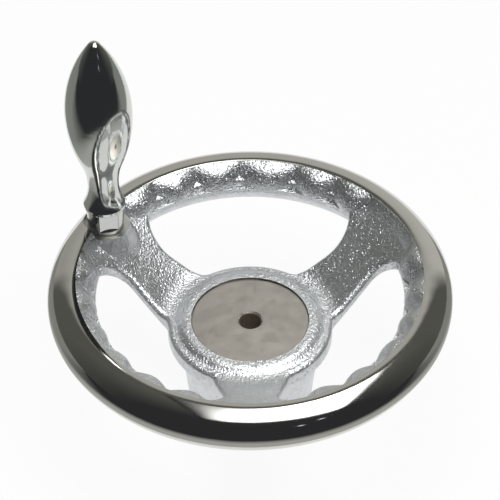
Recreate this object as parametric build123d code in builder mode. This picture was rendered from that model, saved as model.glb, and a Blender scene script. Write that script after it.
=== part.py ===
"""Machine handwheel with a wavy inner rim and a revolving handle.

One cast wheel (round rim, three arched spokes, dished hub with a long boss),
a shouldered spindle screwed into the rim, and a turned grip that spins on it,
kept by a spring ring.
"""
from build123d import *
import os
from math import atan2, cos, degrees, radians, sin, sqrt, tan

# --- driving dimensions, millimetres and degrees -----------------------------

# rim
wheel_d = 125.0             # outside diameter
rim_section_d = 15.0        # diameter of the round rim section
polish_inset = 1.6          # the polish stops this far inside the section's centre circle
cast_step = 0.03            # the cast surface lies this far below the polished one
cast_overlap = 1.0          # the cast half of the section runs this far under the polish
lobe_height = 2.2           # from the valley between two lobes to a lobe's crest
crest_fullness = 0.5523     # how full a lobe's curve is at its crest: this gives a quarter ellipse
valley_fullness = 0.25      # and in a valley, where it is nearly straight
lip_inset = 0.2             # the plain lip below the lobes stays this far outside their crests
# the pattern's finger lobes are uneven: their widths in each window, anticlockwise,
# and the angle from the spoke before a window to the valley where they start
lobe_widths = [
    (16.0, 15.5, 20.0, 16.0, 16.0, 16.0),
    (15.0, 15.0, 15.0, 15.0, 15.0, 15.0),
    (15.0, 15.0, 17.5, 12.5, 15.0, 15.0),
]
lobe_starts = [11.8, 16.5, 16.5]
lobe_stations = 5           # sections that shape one lobe

# hub
hub_length = 34.0           # machined front face to machined back face
hub_below_rim = 12.5        # front face to the rim's mid-plane
hub_face_d = 37.0           # spot-faced front
hub_lip = 0.6               # depth of the spot face below the cast surface around it
hub_shoulder_d = 42.0       # raised cast ring around the spot face
hub_shoulder_run = 2.0      # the ring's edge slopes down over this width
boss_root_d = 44.0          # boss where it leaves the web
boss_end_d = 39.0           # boss at its back face
pilot_bore_d = 7.0          # drilled pilot, to be opened up to the user's shaft
bore_chamfer = 0.5
boss_chamfer = 0.8

# arched web that the spokes are cut from
spoke_count = 3
first_spoke_angle = 30.0
web_dip = 0.7               # the web's lowest ring lies this far below the hub face
web_root_thickness = 6.0    # thickness beside the hub
web_end_thickness = 5.0     # thickness, measured upright, at the rim
web_flat = 4.65             # flat ring between the hub's shoulder and the slope up to the rim
web_top_at_rim = 0.7        # the sloping top would meet the rim's crests this far above mid-plane
web_top_bend_r = 8.0
web_bottom_bend_r = 8.0
hub_shoulder_bend_r = 3.0
web_reach = 60.0            # cutters reach this far above and below the web
boss_fillet_r = 1.2

# windows between the spokes
hub_edge_d = 51.6           # the windows' inner edge
window_overlap = 1.7        # the windows' outer edge lies this far inside the rim's section
flare_overlap = 4.5         # and the circle that the spokes' flares run out to, this far
spoke_base_w = 32.3         # width the spoke's straight sides would have at the wheel's axis
spoke_end_w = 12.1          # and at the flare circle
spoke_root_r = 3.5
flared_window = 0           # only beside the first window do the spokes flare out to the rim
spoke_flare_r = 10.6
window_corner_radii = [3.5, 7.2, 6.2]   # at the rim, one for each window, anticlockwise
web_edge_r = 1.4            # rounding of the spokes' front edges
web_back_edge = 0.8         # and the broken edges at their backs

# handle seat
handle_spoke = 1            # the handle stands on this spoke, counted from the first
handle_inset = 2.8          # the handle's axis lies this far inside the rim's centre circle
seat_above_rim = 4.7        # milled seat above the rim's mid-plane
seat_pad_d = 15.0
seat_cut_d = 14.4           # the cutter's path round the handle
seat_cut_front = 6.5        # and its straight end, this far in front of the handle's axis
seat_pad_depth = 8.0        # the pad runs this far down into the spoke
seat_pad_draft = 24.0
thread_d = 8.0              # M8 shank of the spindle

# spindle
shank_length = 11.0         # length inside the rim
shoulder_h = 8.1
shoulder_d = 11.6
shoulder_flats = 10.0       # across the two wrench flats
flats_h = 6.4
flats_turn = 15.0           # direction that one flat faces, from +X
shoulder_chamfer = 0.6
journal_d = 6.0
journal_length = 44.0
spindle_chamfer = 0.5
ring_groove_d = 4.6
ring_groove_w = 1.3
ring_groove_from_tip = 4.0

# grip
grip_length = 64.2
grip_max_d = 20.6
grip_max_h = 37.4           # height of the belly above the grip's lower end
grip_turn_h = 18.4          # height where the belly's curve turns hollow
neck_d = 9.7
neck_h = 9.2
flange_d = 13.2
flange_edge = 1.6           # height of the flange's rounded edge
flange_fillet_r = 0.8
nose_d = 3.6                # the nose's rounded tip
nose_h = 0.9
running_clearance = 0.05    # radial, journal to grip bore
end_play = 0.2              # axial, under the grip
tip_clearance = 2.5         # from the journal's end to the end of the bore
ring_recess_d = 8.4         # recess in the grip that the ring springs into
ring_recess_h = 2.0

# retaining ring
ring_w = 1.0                # radial width of its flat section
ring_t = 1.0                # and its thickness along the journal
ring_gap_angle = 50.0
ring_groove_clearance = 0.1  # radial, ring to the bottom of its groove

# --- places worked out from those sizes --------------------------------------

rim_z = hub_length + hub_below_rim
rim_r = wheel_d / 2 - rim_section_d / 2
crest_r = rim_r - rim_section_d / 2
polish_r = rim_r - polish_inset
polish_h = sqrt((rim_section_d / 2) ** 2 - polish_inset ** 2)
cast_r = polish_r + cast_overlap
cast_h = polish_h - cast_step
lip_r = crest_r + lip_inset
spoke_pitch = 360 / spoke_count
web_top_z = hub_length - web_dip
web_bottom_z = web_top_z - web_root_thickness
web_top_corner_r = hub_shoulder_d / 2 + hub_shoulder_run + web_flat
web_slope = (rim_z + web_top_at_rim - web_top_z) / (crest_r - web_top_corner_r)
web_bottom_corner_r = crest_r - (rim_z + web_top_at_rim - web_end_thickness - web_bottom_z) / web_slope
web_outer_top_z = web_top_z + (cast_r - web_top_corner_r) * web_slope
web_outer_bottom_z = web_bottom_z + (cast_r - web_bottom_corner_r) * web_slope
window_outer_r = crest_r + window_overlap
flare_circle_r = crest_r + flare_overlap
handle_r = rim_r - handle_inset
seat_z = rim_z + seat_above_rim
shoulder_z = seat_z + shoulder_h
grip_z = shoulder_z + end_play
grip_top_z = grip_z + grip_length
belly_z = grip_z + grip_max_h
neck_z = grip_z + neck_h
turn_z = grip_z + grip_turn_h
turn_share = (turn_z - neck_z) / (belly_z - neck_z)
turn_r = neck_d / 2 + turn_share * (grip_max_d - neck_d) / 2
nose_r = ((nose_d / 2) ** 2 + nose_h ** 2) / (2 * nose_h)
handle_angle = first_spoke_angle + handle_spoke * spoke_pitch
handle_x = handle_r * cos(radians(handle_angle))
handle_y = handle_r * sin(radians(handle_angle))
journal_top_z = shoulder_z + journal_length
ring_z = journal_top_z - ring_groove_from_tip
bore_r = journal_d / 2 + running_clearance
bore_top_z = journal_top_z + tip_clearance
handle_plane = Plane(origin=(handle_x, handle_y, 0), x_dir=(1, 0, 0), z_dir=(0, -1, 0))
handle_axis = Axis((handle_x, handle_y, 0), (0, 0, 1))


def lobe_section(angle, share):
    """Section of the cast half at an angle, at a share of the pitch from one valley to the next."""
    fall = 1 - sin(radians(180 * share))
    inner_r = crest_r + lobe_height * fall
    fullness = crest_fullness + (valley_fullness - crest_fullness) * fall
    with BuildSketch(Plane.XZ.rotated((0, 0, angle))) as section:
        with BuildLine():
            Bezier(
                (inner_r, rim_z),
                (inner_r, rim_z + fullness * cast_h),
                (cast_r - fullness * (cast_r - inner_r), rim_z + cast_h),
                (cast_r, rim_z + cast_h),
            )
            Polyline((inner_r, rim_z), (cast_r, rim_z), (cast_r, rim_z + cast_h))
        make_face()
    return section.sketch.face()


def on_pilot_bore(edge):
    """True for the circles where the pilot bore leaves the hub."""
    return abs(edge.radius - pilot_bore_d / 2) < 0.01 and edge.arc_center.X ** 2 + edge.arc_center.Y ** 2 < 0.01


def edge_faces_front(edge):
    """True for a window's edge on the front of the web, which stays above the middle of its slope."""
    middle = edge @ 0.5
    out = sqrt(middle.X ** 2 + middle.Y ** 2)
    slope_there = max(0, out - web_top_corner_r) * web_slope
    return middle.Z > web_top_z - web_root_thickness / 2 + slope_there


def window_of(corner):
    """Number of the window that a corner of the windows' outline belongs to."""
    past_first_spoke = degrees(atan2(corner.Y, corner.X)) - first_spoke_angle
    return int(past_first_spoke % 360 // spoke_pitch)


# --- rim: polished outer part, cast inner part -------------------------------

with BuildPart() as rim:
    with BuildSketch(Plane.XZ):
        with Locations((rim_r, rim_z)):
            Circle(rim_section_d / 2)
        with Locations((polish_r, rim_z)):
            Rectangle(rim_section_d, 2 * rim_section_d, align=(Align.MAX, Align.CENTER), mode=Mode.SUBTRACT)
    revolve(axis=Axis.Z)

with BuildPart() as lip:
    with BuildSketch(Plane.XZ):
        with Locations((rim_r, rim_z)):
            Circle(rim_section_d / 2 - cast_step)
        with Locations((lip_r, rim_z)):
            Rectangle(cast_r - lip_r, rim_section_d, align=(Align.MIN, Align.MAX), mode=Mode.INTERSECT)
    revolve(axis=Axis.Z)

lobes = []
plain_sectors = []
for window, widths in enumerate(lobe_widths):
    valley = first_spoke_angle + window * spoke_pitch + lobe_starts[window]
    for width in widths:
        stations = [station / (lobe_stations - 1) for station in range(lobe_stations)]
        with BuildPart() as lobe:
            loft([lobe_section(valley + share * width, share) for share in stations])
        lobes.append(lobe)
        valley += width

    # the rim is plain where a spoke runs into it
    next_window = (window + 1) % spoke_count
    next_valley = first_spoke_angle + (window + 1) * spoke_pitch + lobe_starts[next_window]
    with BuildPart() as plain_sector:
        revolve([lobe_section(valley, 0)], axis=Axis.Z, revolution_arc=next_valley - valley)
    plain_sectors.append(plain_sector)

# --- hub, boss and arched web, turned as one shape and cut into spokes ---------

with BuildPart() as spider:
    with BuildSketch(Plane.XZ):
        with BuildLine():
            front = FilletPolyline(
                (0, hub_length + hub_lip),
                (hub_shoulder_d / 2, hub_length + hub_lip),
                (hub_shoulder_d / 2 + hub_shoulder_run, web_top_z),
                (web_top_corner_r, web_top_z),
                (cast_r, web_outer_top_z),
                radius=[hub_shoulder_bend_r, hub_shoulder_bend_r, web_top_bend_r],
            )
            back = FilletPolyline(
                (0, 0),
                (boss_end_d / 2, 0),
                (boss_root_d / 2, web_bottom_z),
                (web_bottom_corner_r, web_bottom_z),
                (cast_r, web_outer_bottom_z),
                radius=[0, boss_fillet_r, web_bottom_bend_r],
            )
            Line(front @ 1, back @ 1)
            Line(front @ 0, back @ 0)
        make_face()
    revolve(axis=Axis.Z)
    chamfer(spider.edges().group_by(Axis.Z)[0], boss_chamfer)

    with BuildSketch(Plane.XY.offset(rim_z)) as windows:
        Circle(flare_circle_r)
        Circle(hub_edge_d / 2, mode=Mode.SUBTRACT)
        with PolarLocations(0, spoke_count, first_spoke_angle):
            Polygon(
                (0, -spoke_base_w / 2),
                (flare_circle_r, -spoke_end_w / 2),
                (flare_circle_r, spoke_end_w / 2),
                (0, spoke_base_w / 2),
                align=None,
                mode=Mode.SUBTRACT,
            )
        corners = windows.vertices().sort_by_distance((0, 0, 0))
        fillet(corners[: 2 * spoke_count], spoke_root_r)
        corners = windows.vertices().filter_by(lambda corner: window_of(corner) == flared_window)
        fillet(corners.sort_by_distance((0, 0, 0))[-2:], spoke_flare_r)
        Circle(window_outer_r, mode=Mode.INTERSECT)
        for window, corner_r in enumerate(window_corner_radii):
            corners = windows.vertices().filter_by(lambda corner: window_of(corner) == window)
            fillet(corners.sort_by_distance((0, 0, 0))[-2:], corner_r)
    extrude(amount=web_reach, both=True, mode=Mode.SUBTRACT)
    window_rims = spider.edges(Select.LAST).filter_by(Axis.Z, reverse=True)
    facing = window_rims.group_by(edge_faces_front)
    fillet(facing[1], web_edge_r)
    chamfer(facing[0], web_back_edge)

# --- wheel: rim, lobes and spider cast in one, then machined -------------------

with BuildPart() as wheel:
    for casting_piece in [rim, lip, *lobes, *plain_sectors, spider]:
        add(casting_piece)

    # pad under the handle, its milled seat and its tapped hole
    with BuildSketch(Plane.XY.offset(seat_z - seat_pad_depth)):
        with Locations((handle_x, handle_y)):
            Circle(seat_pad_d / 2 + seat_pad_depth * tan(radians(seat_pad_draft)))
    extrude(amount=seat_pad_depth, taper=seat_pad_draft)
    with BuildSketch(Plane.XY.offset(seat_z)):
        with Locations((handle_x, handle_y)):
            Circle(seat_cut_d / 2)
        with Locations((handle_x, handle_y - seat_cut_front)):
            Rectangle(seat_cut_d, seat_cut_d, align=(Align.CENTER, Align.MIN), mode=Mode.INTERSECT)
    extrude(amount=rim_section_d, mode=Mode.SUBTRACT)
    with Locations((handle_x, handle_y, seat_z)):
        Hole(thread_d / 2, depth=rim_section_d)

    # spot face and pilot bore through the hub
    with Locations((0, 0, hub_length + hub_lip)):
        CounterBoreHole(pilot_bore_d / 2, hub_face_d / 2, hub_lip)
    bore_rims = wheel.edges().filter_by(GeomType.CIRCLE).filter_by(on_pilot_bore)
    chamfer(bore_rims, bore_chamfer)

# --- spindle: shank in the rim, wrench shoulder, journal with ring groove --------

with BuildPart() as handle_spindle:
    with BuildSketch(handle_plane):
        with BuildLine():
            Polyline(
                (0, seat_z - shank_length),
                (thread_d / 2, seat_z - shank_length),
                (thread_d / 2, seat_z),
                (shoulder_d / 2 - shoulder_chamfer, seat_z),
                (shoulder_d / 2, seat_z + shoulder_chamfer),
                (shoulder_d / 2, shoulder_z),
                (journal_d / 2, shoulder_z),
                (journal_d / 2, journal_top_z - spindle_chamfer),
                (journal_d / 2 - spindle_chamfer, journal_top_z),
                (0, journal_top_z),
                close=True,
            )
        make_face()
        with Locations((ring_groove_d / 2, ring_z)):
            Rectangle(journal_d, ring_groove_w, align=(Align.MIN, Align.CENTER), mode=Mode.SUBTRACT)
    revolve(axis=handle_axis)

    # two flats for the wrench that screws it home
    with BuildSketch(Plane.XY.offset(shoulder_z)):
        with Locations((handle_x, handle_y)):
            Circle(shoulder_d)
            Rectangle(2 * shoulder_d, shoulder_flats, rotation=flats_turn, mode=Mode.SUBTRACT)
    extrude(amount=-flats_h, mode=Mode.SUBTRACT)

# --- spring ring in the journal's groove ----------------------------------------

with BuildPart() as retaining_ring:
    with BuildSketch(handle_plane):
        with Locations((ring_groove_d / 2 + ring_groove_clearance, ring_z)):
            Rectangle(ring_w, ring_t, align=(Align.MIN, Align.CENTER))
    revolve(axis=handle_axis, revolution_arc=360 - ring_gap_angle)

# --- grip: turned outside, bored blind from below ---------------------------------

with BuildPart() as handle_grip:
    with BuildSketch(handle_plane):
        with BuildLine():
            nose = RadiusArc((0, grip_top_z), (nose_d / 2, grip_top_z - nose_h), nose_r)
            TangentArc((grip_max_d / 2, belly_z), nose @ 1, tangent=(0, 1))
            belly = TangentArc((grip_max_d / 2, belly_z), (turn_r, turn_z), tangent=(0, -1))
            TangentArc((neck_d / 2, neck_z), belly @ 1, tangent=(0, 1))
            flare = TangentArc((neck_d / 2, neck_z), (flange_d / 2, grip_z + flange_edge), tangent=(0, -1))
            flange_side = Line(flare @ 1, (flange_d / 2, grip_z))
            base = Line(flange_side @ 1, (0, grip_z))
            Line(base @ 1, nose @ 0)
        make_face()
    revolve(axis=handle_axis)
    fillet(handle_grip.edges().group_by(Axis.Z)[0], flange_fillet_r)

    with Locations((handle_x, handle_y, grip_z)):
        Hole(bore_r, depth=bore_top_z - grip_z)
    with Locations((handle_x, handle_y, ring_z)):
        Cylinder(ring_recess_d / 2, ring_recess_h, mode=Mode.SUBTRACT)

# --- write each piece --------------------------------------------------------------

wheel.part.label = "wheel"
handle_spindle.part.label = "handle_spindle"
retaining_ring.part.label = "retaining_ring"
handle_grip.part.label = "handle_grip"

os.makedirs("parts", exist_ok=True)
export_step(wheel.part, "parts/wheel.step")
export_step(handle_spindle.part, "parts/handle_spindle.step")
export_step(retaining_ring.part, "parts/retaining_ring.step")
export_step(handle_grip.part, "parts/handle_grip.step")
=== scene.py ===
"""Looks for the machine handwheel: chromed casting, turned handle, small studio."""

import math

import bpy
from bpy.props import FloatProperty, FloatVectorProperty, PointerProperty
from bpy.types import Operator, Panel, PropertyGroup
from mathutils import Matrix, Vector


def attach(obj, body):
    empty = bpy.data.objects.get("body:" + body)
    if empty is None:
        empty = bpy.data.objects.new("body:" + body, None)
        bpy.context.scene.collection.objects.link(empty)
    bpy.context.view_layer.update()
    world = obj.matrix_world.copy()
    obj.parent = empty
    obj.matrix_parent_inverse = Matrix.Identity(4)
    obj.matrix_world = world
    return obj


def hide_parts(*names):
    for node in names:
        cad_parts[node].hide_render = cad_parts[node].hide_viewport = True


bl_info = {
    "name": "Machine Handwheel",
    "version": (1, 0, 0),
    "blender": (4, 5, 0),
    "location": "View3D > Sidebar > Handwheel",
    "description": "Finishes a cast handwheel and its revolving handle, and lights them on a small stage",
    "category": "Object",
}

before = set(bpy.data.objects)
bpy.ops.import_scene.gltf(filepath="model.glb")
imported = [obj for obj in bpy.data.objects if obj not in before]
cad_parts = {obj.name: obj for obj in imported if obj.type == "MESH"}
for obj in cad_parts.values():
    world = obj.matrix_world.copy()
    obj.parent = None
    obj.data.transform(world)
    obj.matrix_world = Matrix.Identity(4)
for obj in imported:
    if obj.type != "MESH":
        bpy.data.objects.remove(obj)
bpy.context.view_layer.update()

# places on the wheel, in metres, as the part's source has them
RIM_RADIUS = 0.055
RIM_HEIGHT = 0.0465
RIM_SECTION = 0.0075
POLISH_RADIUS = 0.0534
HUB_FACE_RADIUS = 0.0185
HUB_FACE_HEIGHT = 0.034
BORE_RADIUS = 0.0035
HANDLE_PLACE = Vector((-0.045207, 0.0261, 0.0))
SEAT_HEIGHT = 0.0512
SEAT_RADIUS = 0.0072


# --- settings ----------------------------------------------------------------


class WheelFinish(PropertyGroup):
    """Sizes and colours of the wheel's finishes."""

    chrome_colour: FloatVectorProperty(
        name="Chrome",
        description="Colour of the polished chrome",
        subtype="COLOR",
        size=3,
        min=0.0,
        max=1.0,
        default=(0.62, 0.615, 0.585),
    )
    cast_colour: FloatVectorProperty(
        name="Cast Chrome",
        description="Colour of the chrome over the cast surfaces",
        subtype="COLOR",
        size=3,
        min=0.0,
        max=1.0,
        default=(0.65, 0.665, 0.675),
    )
    grain_size: FloatProperty(
        name="Grain",
        description="Width of one grain of the cast surface",
        subtype="DISTANCE",
        unit="LENGTH",
        default=0.00076,
        min=0.0001,
        max=0.004,
    )
    grain_depth: FloatProperty(
        name="Grain Depth",
        description="Depth of the cast grain",
        subtype="DISTANCE",
        unit="LENGTH",
        default=0.00015,
        min=0.0,
        max=0.0006,
    )
    turning_pitch: FloatProperty(
        name="Turning Pitch",
        description="Distance between two tool marks on the faced hub",
        subtype="DISTANCE",
        unit="LENGTH",
        default=0.00035,
        min=0.00005,
        max=0.002,
    )
    face_colour: FloatVectorProperty(
        name="Faced Metal",
        description="Colour of the spot-faced hub",
        subtype="COLOR",
        size=3,
        min=0.0,
        max=1.0,
        default=(0.53, 0.50, 0.46),
    )
    bore_colour: FloatVectorProperty(
        name="Bore",
        description="Colour of the dark, oily pilot bore",
        subtype="COLOR",
        size=3,
        min=0.0,
        max=1.0,
        default=(0.33, 0.275, 0.225),
    )


class HandleFinish(PropertyGroup):
    """Colours of the handle's finishes."""

    grip_colour: FloatVectorProperty(
        name="Grip",
        description="Colour of the turned and polished grip",
        subtype="COLOR",
        size=3,
        min=0.0,
        max=1.0,
        default=(0.60, 0.615, 0.585),
    )
    spindle_colour: FloatVectorProperty(
        name="Spindle",
        description="Colour of the bright steel spindle",
        subtype="COLOR",
        size=3,
        min=0.0,
        max=1.0,
        default=(0.56, 0.565, 0.55),
    )


class Studio(PropertyGroup):
    """Stage, light and camera."""

    floor_colour: FloatVectorProperty(
        name="Floor",
        description="Colour of the floor",
        subtype="COLOR",
        size=3,
        min=0.0,
        max=1.0,
        default=(0.86, 0.86, 0.85),
    )
    lamp_strength: FloatProperty(
        name="Lamp",
        description="Brightness of the lamp overhead and of the soft panel in the metal",
        default=5.0,
        min=0.0,
        max=20.0,
    )
    camera_distance: FloatProperty(
        name="Camera Distance",
        description="Distance from the camera to the point it looks at",
        subtype="DISTANCE",
        unit="LENGTH",
        default=0.65625,
        min=0.1,
        max=5.0,
    )
    camera_elevation: FloatProperty(
        name="Camera Elevation",
        description="Height of the camera above the horizon",
        subtype="ANGLE",
        unit="ROTATION",
        default=math.radians(43.34),
        min=0.0,
        max=math.radians(90.0),
    )


# --- node helpers ------------------------------------------------------------


def new_finish(name):
    """A material with an empty node tree, its output and its main shader."""
    material = bpy.data.materials.new(name)
    material.use_nodes = True
    tree = material.node_tree
    shader = tree.nodes["Principled BSDF"]
    return material, tree, shader


def node(tree, kind, **settings):
    """A new node with its settings."""
    made = tree.nodes.new(kind)
    for key, value in settings.items():
        setattr(made, key, value)
    return made


def metal_place(tree):
    """Position in the part's own frame."""
    return node(tree, "ShaderNodeTexCoord").outputs["Object"]


def grain(tree, place, size, detail=2.0, roughness=0.5):
    """Noise whose lumps are about size across."""
    noise = node(tree, "ShaderNodeTexNoise")
    noise.inputs["Scale"].default_value = 1.0 / size
    noise.inputs["Detail"].default_value = detail
    noise.inputs["Roughness"].default_value = roughness
    tree.links.new(place, noise.inputs["Vector"])
    return noise.outputs["Fac"]


def spread(tree, value, low, high, to_low=0.0, to_high=1.0):
    """Stretches a value from one range to another."""
    mapped = node(tree, "ShaderNodeMapRange")
    mapped.inputs["From Min"].default_value = low
    mapped.inputs["From Max"].default_value = high
    mapped.inputs["To Min"].default_value = to_low
    mapped.inputs["To Max"].default_value = to_high
    tree.links.new(value, mapped.inputs["Value"])
    return mapped.outputs["Result"]


def maths(tree, first, second, kind="ADD"):
    """One sum, of two numbers or of values from other nodes."""
    sum_node = node(tree, "ShaderNodeMath", operation=kind)
    for socket, value in zip(sum_node.inputs, (first, second)):
        if isinstance(value, (int, float)):
            socket.default_value = value
        else:
            tree.links.new(value, socket)
    return sum_node.outputs["Value"]


def times(tree, first, second):
    """Two values multiplied."""
    return maths(tree, first, second, "MULTIPLY")


def roughen(tree, shader, height, depth):
    """Bump of a given depth, in metres."""
    bump = node(tree, "ShaderNodeBump")
    bump.inputs["Distance"].default_value = depth
    bump.inputs["Strength"].default_value = 1.0
    tree.links.new(height, bump.inputs["Height"])
    tree.links.new(bump.outputs["Normal"], shader.inputs["Normal"])


def tinted(tree, value, dark, light):
    """Runs from one colour to the other as the value goes from 0 to 1."""
    ramp = node(tree, "ShaderNodeMix", data_type="RGBA")
    ramp.inputs["A"].default_value = (*dark, 1.0)
    ramp.inputs["B"].default_value = (*light, 1.0)
    tree.links.new(value, ramp.inputs["Factor"])
    return ramp.outputs["Result"]


def shade(colour, share):
    """The colour made darker or lighter by a share."""
    return tuple(min(1.0, c * share) for c in colour)


def glow_only(tree, shader, colour=None, strength=None):
    """Turns a finish into a plain glow, with its colour and strength taken from nodes."""
    glow = node(tree, "ShaderNodeEmission")
    if colour is not None:
        tree.links.new(colour, glow.inputs["Color"])
    if strength is not None:
        tree.links.new(strength, glow.inputs["Strength"])
    tree.links.new(glow.outputs["Emission"], tree.nodes["Material Output"].inputs["Surface"])
    tree.nodes.remove(shader)


# --- finishes ----------------------------------------------------------------

NO_PAINTED_SHADE = 1.0  # further out than any face, in metres, so that no painted shade line shows


def polished_chrome(name, colour, haze=0.05):
    """Mirror chrome with a faint ripple from the polishing wheel and fine hairlines."""
    material, tree, shader = new_finish(name)
    place = metal_place(tree)
    shader.inputs["Metallic"].default_value = 1.0
    cloud = grain(tree, place, 0.006, detail=3.0)
    tree.links.new(tinted(tree, cloud, shade(colour, 0.94), shade(colour, 1.05)), shader.inputs["Base Color"])
    fine = grain(tree, place, 0.0006, detail=4.0, roughness=0.7)
    tree.links.new(spread(tree, fine, 0.35, 0.75, haze, haze + 0.07), shader.inputs["Roughness"])
    ripple = grain(tree, place, 0.0055, detail=0.0)
    roughen(tree, shader, ripple, 0.00003)
    return material


def cast_chrome(name, colour, size, depth):
    """Chrome over a sand-cast surface: uneven beads and fine grain on soft lumps."""
    material, tree, shader = new_finish(name)
    place = metal_place(tree)
    shader.inputs["Metallic"].default_value = 1.0
    cloud = grain(tree, place, size * 4.5, detail=4.0, roughness=0.6)
    tree.links.new(tinted(tree, cloud, shade(colour, 0.84), shade(colour, 1.14)), shader.inputs["Base Color"])
    lumps = grain(tree, place, size * 4.0, detail=2.0)
    sand = grain(tree, place, size, detail=2.0, roughness=0.5)
    # the cells' places are stirred a little, so that the beads don't stand in rows
    cells = node(tree, "ShaderNodeTexVoronoi", feature="F1")
    cells.inputs["Scale"].default_value = 1.0 / size
    bent = node(tree, "ShaderNodeVectorMath", operation="MULTIPLY_ADD")
    swirl = node(tree, "ShaderNodeTexNoise")
    swirl.inputs["Scale"].default_value = 0.4 / size
    tree.links.new(place, swirl.inputs["Vector"])
    tree.links.new(swirl.outputs["Color"], bent.inputs[0])
    bent.inputs[1].default_value = (size * 2.0, size * 2.0, size * 2.0)
    tree.links.new(place, bent.inputs[2])
    tree.links.new(bent.outputs["Vector"], cells.inputs["Vector"])
    pick = node(tree, "ShaderNodeSeparateXYZ")
    tree.links.new(cells.outputs["Color"], pick.inputs["Vector"])
    dome = spread(tree, cells.outputs["Distance"], 0.05, 0.5, 1.0, 0.0)
    beads = times(tree, dome, spread(tree, pick.outputs["X"], 0.25, 1.0))
    height = maths(tree, times(tree, lumps, 1.1), times(tree, sand, 1.3))
    height = maths(tree, height, times(tree, beads, 1.2))
    roughen(tree, shader, height, depth)
    satin = spread(tree, cloud, 0.35, 0.65, 0.42, 0.32)
    bright_beads = maths(tree, satin, times(tree, beads, 0.14), "SUBTRACT")
    tree.links.new(bright_beads, shader.inputs["Roughness"])
    return material


def faced_metal(name, colour, pitch, edge=NO_PAINTED_SHADE):
    """Satin face from a cutter: fine rings round the axis, and a painted shade line in the corner at its
    edge.
    """
    material, tree, shader = new_finish(name)
    place = metal_place(tree)
    shader.inputs["Metallic"].default_value = 1.0
    split = node(tree, "ShaderNodeSeparateXYZ")
    tree.links.new(place, split.inputs["Vector"])
    flat = node(tree, "ShaderNodeCombineXYZ")
    tree.links.new(split.outputs["X"], flat.inputs["X"])
    tree.links.new(split.outputs["Y"], flat.inputs["Y"])
    away = node(tree, "ShaderNodeVectorMath", operation="LENGTH")
    tree.links.new(flat.outputs["Vector"], away.inputs[0])
    turns = times(tree, away.outputs["Value"], 2.0 * math.pi / pitch)
    rings = maths(tree, turns, 0.0, "SINE")
    mottle = grain(tree, place, 0.0035, detail=4.0, roughness=0.6)
    roughen(tree, shader, maths(tree, times(tree, rings, 0.25), mottle), 0.00001)
    # painted shade: a dark ring just inside the face's edge, standing for the shade in the corner of the
    # recessed face
    painted_corner_shade = node(tree, "ShaderNodeMix", data_type="RGBA")
    tree.links.new(spread(tree, away.outputs["Value"], edge - 0.0006, edge - 0.0002), painted_corner_shade.inputs["Factor"])
    tree.links.new(tinted(tree, mottle, shade(colour, 0.9), shade(colour, 1.08)), painted_corner_shade.inputs["A"])
    painted_corner_shade.inputs["B"].default_value = (*shade(colour, 0.45), 1.0)
    tree.links.new(painted_corner_shade.outputs["Result"], shader.inputs["Base Color"])
    tree.links.new(spread(tree, mottle, 0.3, 0.7, 0.28, 0.38), shader.inputs["Roughness"])
    return material


def oily_bore(name, colour):
    """Drilled hole, dark with oil and scale."""
    material, tree, shader = new_finish(name)
    place = metal_place(tree)
    shader.inputs["Metallic"].default_value = 0.6
    scale = grain(tree, place, 0.0012, detail=3.0)
    tree.links.new(tinted(tree, scale, shade(colour, 0.7), shade(colour, 1.5)), shader.inputs["Base Color"])
    tree.links.new(spread(tree, scale, 0.3, 0.7, 0.4, 0.6), shader.inputs["Roughness"])
    roughen(tree, shader, scale, 0.00003)
    return material


def spring_steel(name):
    """Plain drawn spring wire."""
    material, tree, shader = new_finish(name)
    place = metal_place(tree)
    shader.inputs["Metallic"].default_value = 1.0
    drawn = grain(tree, place, 0.0003, detail=2.0)
    tree.links.new(tinted(tree, drawn, (0.20, 0.20, 0.21), (0.30, 0.30, 0.31)), shader.inputs["Base Color"])
    tree.links.new(spread(tree, drawn, 0.3, 0.7, 0.3, 0.42), shader.inputs["Roughness"])
    roughen(tree, shader, drawn, 0.00001)
    return material


# --- wheel -------------------------------------------------------------------

CAST, POLISHED, FACED, BORED, MILLED = range(5)
SEAT_REACH = 0.0125  # from the seat down to the foot of the tapped hole
TAPPED_RADIUS = 0.0042  # just outside the tapped hole
BACK_FACE_RADIUS = 0.021  # just outside the boss's back face
RING_TOLERANCE = 0.00003  # a point this near the rim's round section lies on it


def finish_of(centre):
    """Which finish a facet of the wheel gets, from where it lies."""
    out = math.hypot(centre.x, centre.y)
    from_handle = math.hypot(centre.x - HANDLE_PLACE.x, centre.y - HANDLE_PLACE.y)
    if from_handle < SEAT_RADIUS + 0.0002 and centre.z > SEAT_HEIGHT - SEAT_REACH:
        if abs(centre.z - SEAT_HEIGHT) < 0.0002 or from_handle < TAPPED_RADIUS:
            return MILLED
    if out < BORE_RADIUS + 0.0003:
        return BORED
    if out < HUB_FACE_RADIUS + 0.0002 and abs(centre.z - HUB_FACE_HEIGHT) < 0.0007:
        return FACED
    if centre.z < 0.0009 and out < BACK_FACE_RADIUS:
        return FACED
    from_ring = math.hypot(out - RIM_RADIUS, centre.z - RIM_HEIGHT)
    if out > POLISH_RADIUS - 0.0001 and from_ring > RIM_SECTION - 0.0006:
        return POLISHED
    return CAST


def true_up_rim(mesh):
    """Give the turned and polished rim the exact normals of its round section."""
    normals = [Vector(corner.vector) for corner in mesh.corner_normals]
    for face in mesh.polygons:
        if face.material_index != POLISHED:
            continue
        outward = []
        for index in face.vertices:
            point = mesh.vertices[index].co
            out = math.hypot(point.x, point.y)
            to_ring = Vector((point.x, point.y, 0.0)) * ((out - RIM_RADIUS) / out)
            to_ring.z = point.z - RIM_HEIGHT
            outward.append(to_ring)
        if all(abs(arm.length - RIM_SECTION) < RING_TOLERANCE for arm in outward):
            for corner, arm in zip(face.loop_indices, outward):
                normals[corner] = arm.normalized()
    mesh.normals_split_custom_set(normals)


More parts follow.
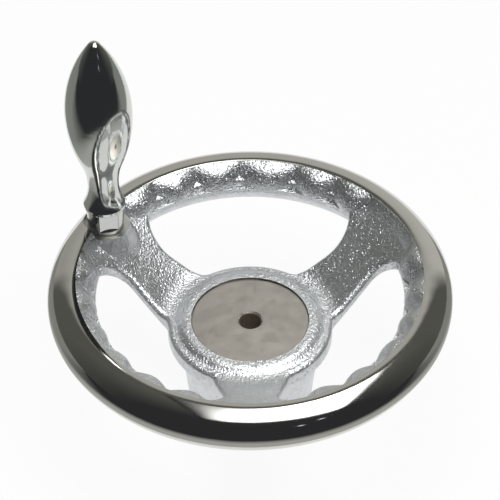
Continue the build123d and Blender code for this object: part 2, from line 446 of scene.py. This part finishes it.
class HANDWHEEL_OT_wheel(Operator):
    """Give the casting, its polished rim and its machined faces their finishes"""

    bl_idname = "handwheel.wheel"
    bl_label = "Finish Wheel"

    def execute(self, context):
        look = context.scene.handwheel_wheel
        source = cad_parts["wheel"]
        mesh = source.data.copy()
        mesh.name = "wheel_casting"
        wheel = bpy.data.objects.new("wheel_casting", mesh)
        context.scene.collection.objects.link(wheel)
        chrome, cast = tuple(look.chrome_colour), tuple(look.cast_colour)
        faced, bored = tuple(look.face_colour), tuple(look.bore_colour)
        mesh.materials.clear()
        # in the order of CAST, POLISHED, FACED, BORED and MILLED
        for finish in (
            cast_chrome("cast chrome", cast, look.grain_size, look.grain_depth),
            polished_chrome("polished rim chrome", chrome),
            faced_metal("faced hub metal", faced, look.turning_pitch, HUB_FACE_RADIUS),
            oily_bore("oily bore", bored),
            faced_metal("milled seat", chrome, look.turning_pitch),
        ):
            mesh.materials.append(finish)
        for face in mesh.polygons:
            face.material_index = finish_of(face.center)
        true_up_rim(mesh)
        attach(wheel, "wheel")
        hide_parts("wheel")
        return {"FINISHED"}


# --- handle ------------------------------------------------------------------


class HANDWHEEL_OT_handle(Operator):
    """Give the spindle, its spring ring and the turning grip their finishes"""

    bl_idname = "handwheel.handle"
    bl_label = "Finish Handle"

    def execute(self, context):
        look = context.scene.handwheel_handle
        finishes = {
            "handle_grip": polished_chrome("turned grip chrome", tuple(look.grip_colour), haze=0.08),
            "handle_spindle": polished_chrome("bright spindle steel", tuple(look.spindle_colour), haze=0.09),
            "retaining_ring": spring_steel("spring steel"),
        }
        for name, finish in finishes.items():
            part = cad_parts[name]
            for slot in part.material_slots:
                slot.material = finish
        return {"FINISHED"}


# --- stage, light and camera --------------------------------------------------

WHITE_SHARE = 0.93  # how much of the floor's look is plain white to the eye and in metal
PALE_WIDE, PALE_TALL = 0.72, 0.74  # half sizes of the tent's pale back, as parts of its radius
FRONT_DARK = (0.036, 0.036, 0.04)
SIDE_DARK = (0.12, 0.12, 0.108)
BACK_LEFT, BACK_RIGHT = (0.42, 0.42, 0.395), (0.62, 0.62, 0.585)
BULBS = ((24.0, 22.0), (36.0, 30.0))  # degrees to the right of the front, and up
BULB_EDGE, BULB_CORE = math.radians(1.6), math.radians(0.9)
BULB_STRENGTH = 45.0
GROUND_BEHIND, GROUND_NEAR = (0.30, 0.305, 0.29), (0.50, 0.50, 0.48)
GROUND_SLANT = 0.5  # the ground's inner edges go out this far for each metre back
PANEL_HEIGHT = 1.35
PANEL_CORNERS = [(-0.42, -0.70), (0.97, -0.80), (0.33, 0.60), (-0.15, 0.56)]  # as parts of its height
PANEL_LEFT_SLANT, PANEL_RIGHT_SLANT = 0.214, 0.457  # slants of the lines that its sides fade along


def seen_by_eye_and_mirror(tree):
    """1 for camera, glossy and transmission rays."""
    path = node(tree, "ShaderNodeLightPath")
    total = maths(tree, path.outputs["Is Camera Ray"], path.outputs["Is Glossy Ray"])
    total = maths(tree, total, path.outputs["Is Transmission Ray"])
    return maths(tree, total, 1.0, "MINIMUM")


def grid_sheet(name, points, faces):
    """A sheet for the stage, from its points and faces."""
    mesh = bpy.data.meshes.new(name)
    mesh.from_pydata(points, [], faces)
    mesh.validate()
    sheet = bpy.data.objects.new(name, mesh)
    bpy.context.scene.collection.objects.link(sheet)
    return sheet


def pale_floor(look):
    """Floor whose white shows to the eye and in the chrome, and which still takes a shadow."""
    half = 6.0
    floor = grid_sheet(
        "floor",
        [(-half, -half, 0.0), (half, -half, 0.0), (half, half, 0.0), (-half, half, 0.0)],
        [(0, 1, 2, 3)],
    )
    material, tree, shader = new_finish("pale floor")
    shader.inputs["Base Color"].default_value = (*look.floor_colour, 1.0)
    shader.inputs["Roughness"].default_value = 0.9
    shader.inputs["Specular IOR Level"].default_value = 0.1
    glow = node(tree, "ShaderNodeEmission")
    glow.inputs["Color"].default_value = (1.0, 1.0, 1.0, 1.0)
    mixed = node(tree, "ShaderNodeMixShader")
    tree.links.new(times(tree, seen_by_eye_and_mirror(tree), WHITE_SHARE), mixed.inputs["Fac"])
    tree.links.new(shader.outputs["BSDF"], mixed.inputs[1])
    tree.links.new(glow.outputs["Emission"], mixed.inputs[2])
    tree.links.new(mixed.outputs["Shader"], tree.nodes["Material Output"].inputs["Surface"])
    material.cycles.emission_sampling = "NONE"
    floor.data.materials.append(material)


def cloth_tent():
    """Dark cloth round the front and sides and pale cloth behind, open at the top, hidden from the camera."""
    radius, rings, turns = 2.0, 40, 96
    points, faces = [], []
    for ring in range(rings + 1):
        zenith = math.radians(8.0 + (92.0 - 8.0) * ring / rings)
        for turn in range(turns):
            around = 2.0 * math.pi * turn / turns
            points.append(
                (
                    radius * math.sin(zenith) * math.cos(around),
                    radius * math.sin(zenith) * math.sin(around),
                    radius * math.cos(zenith),
                )
            )
    for ring in range(rings):
        for turn in range(turns):
            after = (turn + 1) % turns
            upper, lower = ring * turns, (ring + 1) * turns
            faces.append((upper + turn, upper + after, lower + after, lower + turn))
    tent = grid_sheet("cloth_tent", points, faces)
    for face in tent.data.polygons:
        face.use_smooth = True
    material, tree, shader = new_finish("tent cloth")
    place = node(tree, "ShaderNodeTexCoord").outputs["Object"]
    split = node(tree, "ShaderNodeSeparateXYZ")
    scaled = node(tree, "ShaderNodeVectorMath", operation="NORMALIZE")
    tree.links.new(place, scaled.inputs[0])
    tree.links.new(scaled.outputs["Vector"], split.inputs["Vector"])
    # pale behind: the back opening is an ellipse about the horizon behind the wheel
    side = maths(tree, split.outputs["X"], PALE_WIDE, "DIVIDE")
    tall = maths(tree, split.outputs["Z"], PALE_TALL, "DIVIDE")
    reach = maths(tree, times(tree, side, side), times(tree, tall, tall))
    behind = spread(tree, split.outputs["Y"], 0.25, 0.35)
    inside = spread(tree, reach, 1.12, 0.92)
    pale = times(tree, behind, inside)
    front = spread(tree, split.outputs["Y"], 0.35, -0.45)
    dark = tinted(tree, front, SIDE_DARK, FRONT_DARK)
    both = node(tree, "ShaderNodeMix", data_type="RGBA")
    tree.links.new(pale, both.inputs["Factor"])
    tree.links.new(dark, both.inputs["A"])
    across = spread(tree, split.outputs["X"], -0.5, 0.4)
    tree.links.new(tinted(tree, across, BACK_LEFT, BACK_RIGHT), both.inputs["B"])
    # two small bulbs that shine through the cloth in front
    bulbs = 0.0
    for around, up in BULBS:
        around, up = math.radians(around), math.radians(up)
        towards = node(tree, "ShaderNodeVectorMath", operation="DOT_PRODUCT")
        tree.links.new(scaled.outputs["Vector"], towards.inputs[0])
        level = math.cos(up)
        towards.inputs[1].default_value = (math.sin(around) * level, -math.cos(around) * level, math.sin(up))
        edge, core = math.cos(BULB_EDGE), math.cos(BULB_CORE)
        lit = spread(tree, towards.outputs["Value"], edge, core, 0.0, BULB_STRENGTH)
        bulbs = maths(tree, lit, bulbs)
    glow_only(tree, shader, both.outputs["Result"], maths(tree, bulbs, 1.0))
    material.cycles.emission_sampling = "NONE"
    tent.data.materials.append(material)
    tent.visible_camera = False
    tent.visible_shadow = False


def only_in_metal(sheet):
    """Leaves a stage sheet to be seen in the chrome alone."""
    sheet.visible_camera = False
    sheet.visible_diffuse = False
    sheet.visible_shadow = False
    sheet.visible_transmission = False


def dark_ground():
    """Dark ground round the front and sides of the white paper, greyer near the wheel and behind it."""
    far, near, height, turns = 3.0, 0.074, 0.0003, 48
    turned = [math.pi * k / turns for k in range(turns + 1)]
    inner = [(near * math.cos(a), -near * math.sin(a), height) for a in turned]
    outer = [(far * math.cos(a), -far * math.sin(a), height) for a in turned]
    open_x = near + GROUND_SLANT * far
    points = inner + outer
    points += [(x, far, height) for x in (open_x, far, -open_x, -far)]
    last = len(inner)
    faces = [(k, k + 1, last + k + 1, last + k) for k in range(turns)]
    faces += [(0, last, 2 * last + 1, 2 * last), (turns, 2 * last + 2, 2 * last + 3, last + turns)]
    ground = grid_sheet("dark_ground", points, faces)
    material, tree, shader = new_finish("dark ground")
    place = node(tree, "ShaderNodeTexCoord").outputs["Object"]
    split = node(tree, "ShaderNodeSeparateXYZ")
    tree.links.new(place, split.inputs["Vector"])
    away = node(tree, "ShaderNodeVectorMath", operation="LENGTH")
    tree.links.new(place, away.inputs[0])
    close = spread(tree, away.outputs["Value"], 0.10, 0.14, 1.0, 0.0)
    behind = spread(tree, split.outputs["Y"], -0.07, 0.03)
    ground_tone = tinted(tree, behind, FRONT_DARK, GROUND_BEHIND)
    both = node(tree, "ShaderNodeMix", data_type="RGBA")
    tree.links.new(close, both.inputs["Factor"])
    tree.links.new(ground_tone, both.inputs["A"])
    both.inputs["B"].default_value = (*GROUND_NEAR, 1.0)
    glow_only(tree, shader, both.outputs["Result"])
    material.cycles.emission_sampling = "NONE"
    ground.data.materials.append(material)
    only_in_metal(ground)


def soft_panel(radiance):
    """Soft panel overhead as the chrome shows it, brightest in its middle and fading to its edges."""
    height = PANEL_HEIGHT
    points = [(x * height, y * height, height) for x, y in PANEL_CORNERS]
    panel = grid_sheet("soft_panel", points, [(0, 1, 2, 3)])
    material, tree, shader = new_finish("soft panel")
    split = node(tree, "ShaderNodeSeparateXYZ")
    tree.links.new(node(tree, "ShaderNodeTexCoord").outputs["Object"], split.inputs["Vector"])
    front = spread(tree, split.outputs["Y"], -0.70 * height, -0.50 * height, 0.03, 1.0)
    # both side edges slant inward towards the back
    across, back = split.outputs["X"], split.outputs["Y"]
    from_left = maths(tree, across, times(tree, back, PANEL_LEFT_SLANT), "SUBTRACT")
    left = spread(tree, from_left, -0.27 * height, -0.01 * height, 0.02, 1.0)
    from_right = maths(tree, across, times(tree, back, PANEL_RIGHT_SLANT))
    right = spread(tree, from_right, 0.60 * height, 0.48 * height, 0.1, 1.0)
    sides = times(tree, times(tree, left, left), times(tree, right, right))
    fade = times(tree, front, sides)
    glow_only(tree, shader, strength=times(tree, fade, radiance))
    panel.data.materials.append(material)
    only_in_metal(panel)


def soft_lamp(name, place, aim, width, depth, radiance):
    """Rectangular soft lamp; radiance 1 looks white."""
    lamp = bpy.data.lights.new(name, "AREA")
    lamp.shape = "RECTANGLE"
    lamp.size = width
    lamp.size_y = depth
    lamp.energy = radiance * math.pi * width * depth
    lit = bpy.data.objects.new(name, lamp)
    bpy.context.scene.collection.objects.link(lit)
    lit.location = place
    lit.rotation_euler = (Vector(aim) - Vector(place)).to_track_quat("-Z", "Y").to_euler()
    lit.visible_camera = False
    lit.visible_glossy = False


class HANDWHEEL_OT_studio(Operator):
    """Lay the floor, hang the cloth and the lamp, and set the camera"""

    bl_idname = "handwheel.studio"
    bl_label = "Set Studio"

    def execute(self, context):
        look = context.scene.handwheel_studio
        pale_floor(look)
        cloth_tent()
        dark_ground()
        soft_panel(look.lamp_strength)
        height = 1.3
        soft_lamp(
            "lamp_overhead",
            (0.12 * height, -0.13 * height, height + 0.05),
            (0.0, 0.0, 0.05),
            0.66 * height,
            1.0 * height,
            look.lamp_strength,
        )

        world = bpy.data.worlds.new("studio air")
        world.use_nodes = True
        background = world.node_tree.nodes["Background"]
        background.inputs["Color"].default_value = (1.0, 1.0, 1.0, 1.0)
        background.inputs["Strength"].default_value = 1.0
        context.scene.world = world

        aim = Vector((0.0002, 0.01866, 0.0465))
        turn = math.radians(-90.5)
        up = look.camera_elevation
        away = Vector((math.cos(up) * math.cos(turn), math.cos(up) * math.sin(turn), math.sin(up)))
        eye = bpy.data.cameras.new("camera")
        eye.sensor_width = 36.0
        eye.lens = 149.86
        eye.clip_start = 0.01
        eye.clip_end = 100.0
        camera = bpy.data.objects.new("camera", eye)
        context.scene.collection.objects.link(camera)
        facing = (-away).to_track_quat("-Z", "Y").to_matrix().to_4x4()
        level = Matrix.Rotation(math.radians(-0.22), 4, "Z")
        camera.matrix_world = Matrix.Translation(aim + away * look.camera_distance) @ facing @ level
        context.scene.camera = camera
        context.scene.view_settings.view_transform = "Standard"
        return {"FINISHED"}


class HANDWHEEL_PT_sidebar(Panel):
    """Lists the pieces of the handwheel"""

    bl_label = "Handwheel"
    bl_idname = "HANDWHEEL_PT_sidebar"
    bl_space_type = "VIEW_3D"
    bl_region_type = "UI"
    bl_category = "Handwheel"

    def draw(self, context):
        layout = self.layout
        for settings, names, action in (
            ("handwheel_wheel", WheelFinish.__annotations__, "handwheel.wheel"),
            ("handwheel_handle", HandleFinish.__annotations__, "handwheel.handle"),
            ("handwheel_studio", Studio.__annotations__, "handwheel.studio"),
        ):
            box = layout.box()
            for name in names:
                box.prop(getattr(context.scene, settings), name)
            box.operator(action)


CLASSES = (
    WheelFinish,
    HandleFinish,
    Studio,
    HANDWHEEL_OT_wheel,
    HANDWHEEL_OT_handle,
    HANDWHEEL_OT_studio,
    HANDWHEEL_PT_sidebar,
)


def register():
    """Makes the settings, operators and panel known to Blender."""
    for kind in CLASSES:
        bpy.utils.register_class(kind)
    bpy.types.Scene.handwheel_wheel = PointerProperty(type=WheelFinish)
    bpy.types.Scene.handwheel_handle = PointerProperty(type=HandleFinish)
    bpy.types.Scene.handwheel_studio = PointerProperty(type=Studio)


def unregister():
    """Takes them away again, in the opposite order."""
    del bpy.types.Scene.handwheel_studio
    del bpy.types.Scene.handwheel_handle
    del bpy.types.Scene.handwheel_wheel
    for kind in reversed(CLASSES):
        bpy.utils.unregister_class(kind)


def main():
    """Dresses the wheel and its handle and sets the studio."""
    register()
    bpy.ops.handwheel.wheel()
    bpy.ops.handwheel.handle()
    bpy.ops.handwheel.studio()


if __name__ == "__main__":
    main()
